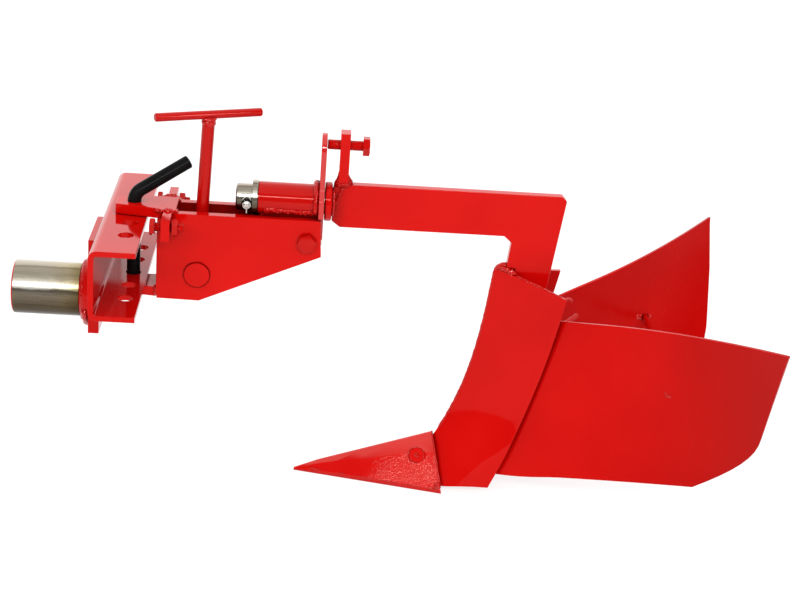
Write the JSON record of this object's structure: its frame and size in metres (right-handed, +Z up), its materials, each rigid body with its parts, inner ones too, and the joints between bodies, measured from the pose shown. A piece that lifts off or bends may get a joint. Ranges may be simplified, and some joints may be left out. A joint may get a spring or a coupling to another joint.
{
  "type": "walk-behind ridger",
  "caption": "Red double-winged ridger body on a cranked flat beam, with a hitch head that offsets, swings, pitches and rolls it behind a walking tractor.",
  "frame": {"origin": "on the spigot axis where its bare length ends at the weld collar", "axes": "+X rearward from the hitch towards the ridger body, +Y away from the viewer of the picture, +Z up"},
  "size_m": [0.8288, 0.4414, 0.4327],
  "materials": {
    "red_enamel": "gloss enamel",
    "bare_steel": "machined",
    "black_steel": "black oxide"
  },
  "bodies": {
    "hitch_head": {"hitch_spigot": "bare_steel", "flange_plate": "red_enamel", "offset_channel": "red_enamel"},
    "drop_pin": {"hitch_pin": "black_steel", "pin_handle": "black_steel"},
    "swing_bracket": {"top_lug": "red_enamel", "bottom_lug": "red_enamel", "near_side_plate": "red_enamel", "far_side_plate": "red_enamel", "near_stop_block": "red_enamel", "far_stop_block": "red_enamel", "stop_lock_nuts": "red_enamel", "pivot_bolt": "red_enamel", "pivot_nut": "red_enamel", "screw_cross_bar": "red_enamel"},
    "near_set_bolt": {"near_stop_bolt": "red_enamel"},
    "far_set_bolt": {"far_stop_bolt": "red_enamel"},
    "depth_arm": {"depth_arm_bar": "red_enamel", "swivel_tube": "red_enamel", "end_plate": "red_enamel"},
    "swivel_nut": {"depth_nut": "bare_steel"},
    "adjusting_screw": {"tee_screw": "red_enamel", "tee_bar": "red_enamel"},
    "ridger": {"swivel_shaft": "bare_steel", "front_washer": "bare_steel", "thrust_ring": "red_enamel", "beam": "red_enamel", "lock_lug": "red_enamel", "breast": "red_enamel", "share": "red_enamel", "share_bolts": "red_enamel", "near_wing": "red_enamel", "far_wing": "red_enamel", "spreader_rod": "red_enamel", "wing_stays": "red_enamel"},
    "roll_lock": {"lock_bolt": "red_enamel"},
    "shaft_pin": {"collar_pin": "bare_steel"}
  },
  "joints": [
    {"name": "pin_lift", "type": "slide", "parent": "hitch_head", "child": "drop_pin", "axis": [0, 0, 1], "range_m": [0, 0.125]},
    {"name": "swing", "type": "hinge", "parent": "hitch_head", "child": "swing_bracket", "pos_m": [0.0575, 0, 0.06], "axis": [0, 0, 1], "range_deg": [-3.5, 3.5]},
    {"name": "near_stop", "type": "slide", "parent": "swing_bracket", "child": "near_set_bolt", "axis": [1, 0, 0], "range_m": [0, 0.006]},
    {"name": "far_stop", "type": "slide", "parent": "swing_bracket", "child": "far_set_bolt", "axis": [1, 0, 0], "range_m": [0, 0.006]},
    {"name": "depth", "type": "hinge", "parent": "swing_bracket", "child": "depth_arm", "pos_m": [0.25, 0, 0.0796], "axis": [0, 1, 0], "range_deg": [-2, 5]},
    {"name": "nut_tilt", "type": "hinge", "parent": "depth_arm", "child": "swivel_nut", "pos_m": [0.13171, 0, 0.0796], "axis": [0, 1, 0], "range_deg": [-6, 3]},
    {"name": "screw_turn", "type": "hinge", "parent": "swing_bracket", "child": "adjusting_screw", "pos_m": [0.13, 0, 0.035], "axis": [0.0384, 0, 0.9993], "range_deg": [-490, 1225]},
    {"name": "roll", "type": "hinge", "parent": "depth_arm", "child": "ridger", "pos_m": [0.22, 0, 0.121], "axis": [1, 0, 0], "range_deg": [-10, 10]},
    {"name": "lock_slide", "type": "slide", "parent": "ridger", "child": "roll_lock", "axis": [1, 0, 0], "range_m": [0, 0.012]},
    {"name": "pin_pull", "type": "slide", "parent": "ridger", "child": "shaft_pin", "axis": [0, -1, 0], "range_m": [0, 0.05]}
  ],
  "couplings": [
    {"joint": "nut_tilt", "follows": "depth", "ratio": -1},
    {"joint": "screw_turn", "follows": "depth", "ratio": 244}
  ]
}
